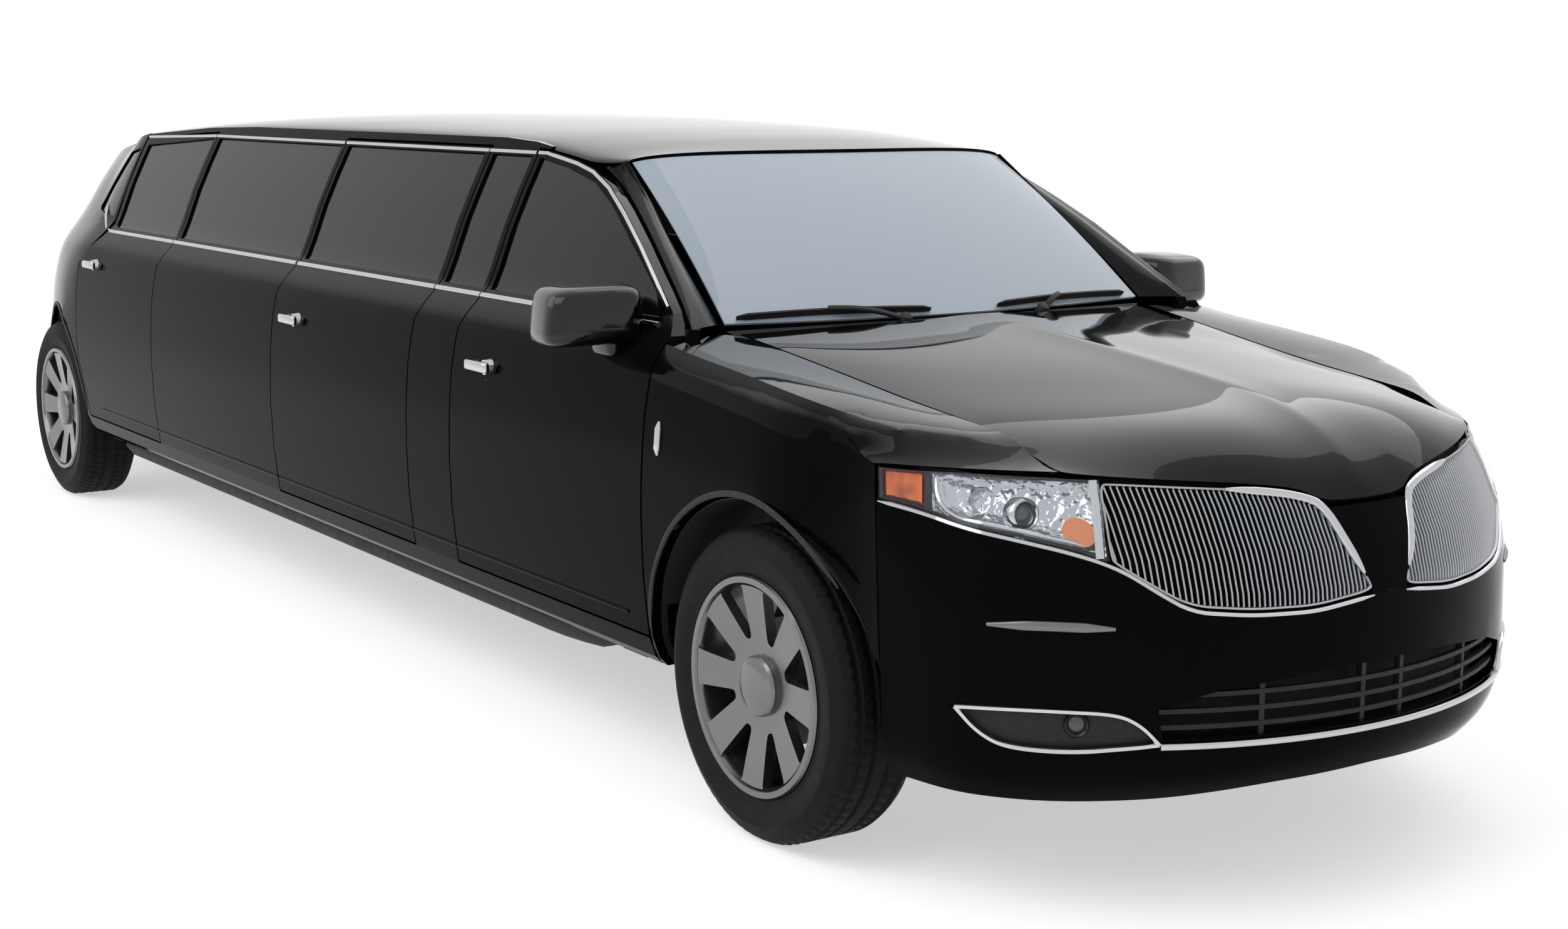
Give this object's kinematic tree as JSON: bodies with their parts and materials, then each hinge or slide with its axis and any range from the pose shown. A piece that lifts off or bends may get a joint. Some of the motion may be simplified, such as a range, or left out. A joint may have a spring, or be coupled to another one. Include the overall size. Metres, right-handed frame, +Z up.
{
  "type": "stretch limousine",
  "caption": "Long black passenger car with opening side doors, hood and liftgate, a hollow lounge cabin, steered front wheels and a split upright-bar grille.",
  "frame": {"origin": "on the ground at mid length and mid width", "axes": "+X towards the nose, +Y to the car's left, +Z up"},
  "size_m": [7.7098, 2.1402, 1.6897],
  "materials": {
    "black_paint": "gloss",
    "chassis_black": "satin",
    "bright_trim": "polished",
    "grille_silver": "polished",
    "lamp_lens": "clear",
    "red_lens": "gloss",
    "privacy_glass": "dark",
    "screen_glass": "clear",
    "wheel_alloy": "machined",
    "tyre_rubber": "matte",
    "cast_metal": "as cast",
    "pipe_steel": "dull",
    "trim_plastic": "matte",
    "cowl_plastic": "matte",
    "seat_leather": "soft"
  },
  "bodies": {
    "body": {"floor_pan": "chassis_black", "body_side_left": "black_paint", "body_side_right": "black_paint", "quarters": "black_paint", "pillars": "black_paint", "roof": "black_paint", "cowl": "cowl_plastic", "fenders": "black_paint", "front_bumper": "black_paint", "grilles": "grille_silver", "headlamps": "lamp_lens", "fog_lamps": "bright_trim", "windscreen": "screen_glass", "side_glass": "privacy_glass", "rear_bumper": "black_paint", "tail_lamps": "red_lens", "engine": "cast_metal", "front_subframe": "chassis_black", "rear_axle": "chassis_black", "exhaust": "pipe_steel", "dashboard": "trim_plastic", "steering_wheel": "trim_plastic", "front_seats": "seat_leather", "partition": "trim_plastic", "lounge_seats": "seat_leather"},
    "hood": {"hood": "black_paint"},
    "door_front_left": {"door_front_left": "black_paint", "glass_front_left": "privacy_glass", "mirror_left": "black_paint"},
    "door_front_right": {"door_front_right": "black_paint", "glass_front_right": "privacy_glass", "mirror_right": "black_paint"},
    "door_mid_right": {"door_mid_right": "black_paint", "glass_mid_right": "privacy_glass"},
    "door_rear_left": {"door_rear_left": "black_paint", "glass_rear_left": "privacy_glass"},
    "door_rear_right": {"door_rear_right": "black_paint", "glass_rear_right": "privacy_glass"},
    "liftgate": {"liftgate": "black_paint", "liftgate_glass": "privacy_glass"},
    "knuckle_left": {"knuckle_left": "cast_metal"},
    "knuckle_right": {"knuckle_right": "cast_metal"},
    "wheel_front_left": {"wheel_front_left": "wheel_alloy", "tyre_front_left": "tyre_rubber"},
    "wheel_front_right": {"wheel_front_right": "wheel_alloy", "tyre_front_right": "tyre_rubber"},
    "wheel_rear_left": {"wheel_rear_left": "wheel_alloy", "tyre_rear_left": "tyre_rubber"},
    "wheel_rear_right": {"wheel_rear_right": "wheel_alloy", "tyre_rear_right": "tyre_rubber"}
  },
  "joints": [
    {"name": "hood_hinge", "type": "hinge", "parent": "body", "child": "hood", "pos_m": [2.36, 0, 1.13], "axis": [0, -1, 0], "range_deg": [0, 60]},
    {"name": "door_front_left_hinge", "type": "hinge", "parent": "body", "child": "door_front_left", "pos_m": [2.35, 0.965, 0.7], "axis": [0, 0, -1], "range_deg": [0, 65]},
    {"name": "door_front_right_hinge", "type": "hinge", "parent": "body", "child": "door_front_right", "pos_m": [2.35, -0.965, 0.7], "axis": [0, 0, 1], "range_deg": [0, 65]},
    {"name": "door_mid_right_hinge", "type": "hinge", "parent": "body", "child": "door_mid_right", "pos_m": [0.992, -0.965, 0.7], "axis": [0, 0, 1], "range_deg": [0, 65]},
    {"name": "door_rear_left_hinge", "type": "hinge", "parent": "body", "child": "door_rear_left", "pos_m": [-1.295, 0.965, 0.7], "axis": [0, 0, -1], "range_deg": [0, 65]},
    {"name": "door_rear_right_hinge", "type": "hinge", "parent": "body", "child": "door_rear_right", "pos_m": [-1.295, -0.965, 0.7], "axis": [0, 0, 1], "range_deg": [0, 65]},
    {"name": "liftgate_hinge", "type": "hinge", "parent": "body", "child": "liftgate", "pos_m": [-3.1, 0, 1.446], "axis": [0, 1, 0], "range_deg": [0, 75]},
    {"name": "steer_left", "type": "hinge", "parent": "body", "child": "knuckle_left", "pos_m": [2.8, 0.7662, 0.371], "axis": [0, 0, 1], "range_deg": [-35, 35]},
    {"name": "steer_right", "type": "hinge", "parent": "body", "child": "knuckle_right", "pos_m": [2.8, -0.7662, 0.371], "axis": [0, 0, 1], "range_deg": [-35, 35]},
    {"name": "wheel_front_left_spin", "type": "hinge", "parent": "knuckle_left", "child": "wheel_front_left", "pos_m": [2.8, 0.826, 0.371], "axis": [0, 1, 0], "continuous": true},
    {"name": "wheel_front_right_spin", "type": "hinge", "parent": "knuckle_right", "child": "wheel_front_right", "pos_m": [2.8, -0.826, 0.371], "axis": [0, 1, 0], "continuous": true},
    {"name": "wheel_rear_left_spin", "type": "hinge", "parent": "body", "child": "wheel_rear_left", "pos_m": [-2.63, 0.826, 0.371], "axis": [0, 1, 0], "continuous": true},
    {"name": "wheel_rear_right_spin", "type": "hinge", "parent": "body", "child": "wheel_rear_right", "pos_m": [-2.63, -0.826, 0.371], "axis": [0, 1, 0], "continuous": true}
  ],
  "couplings": [
    {"joint": "steer_right", "follows": "steer_left", "ratio": 1}
  ]
}
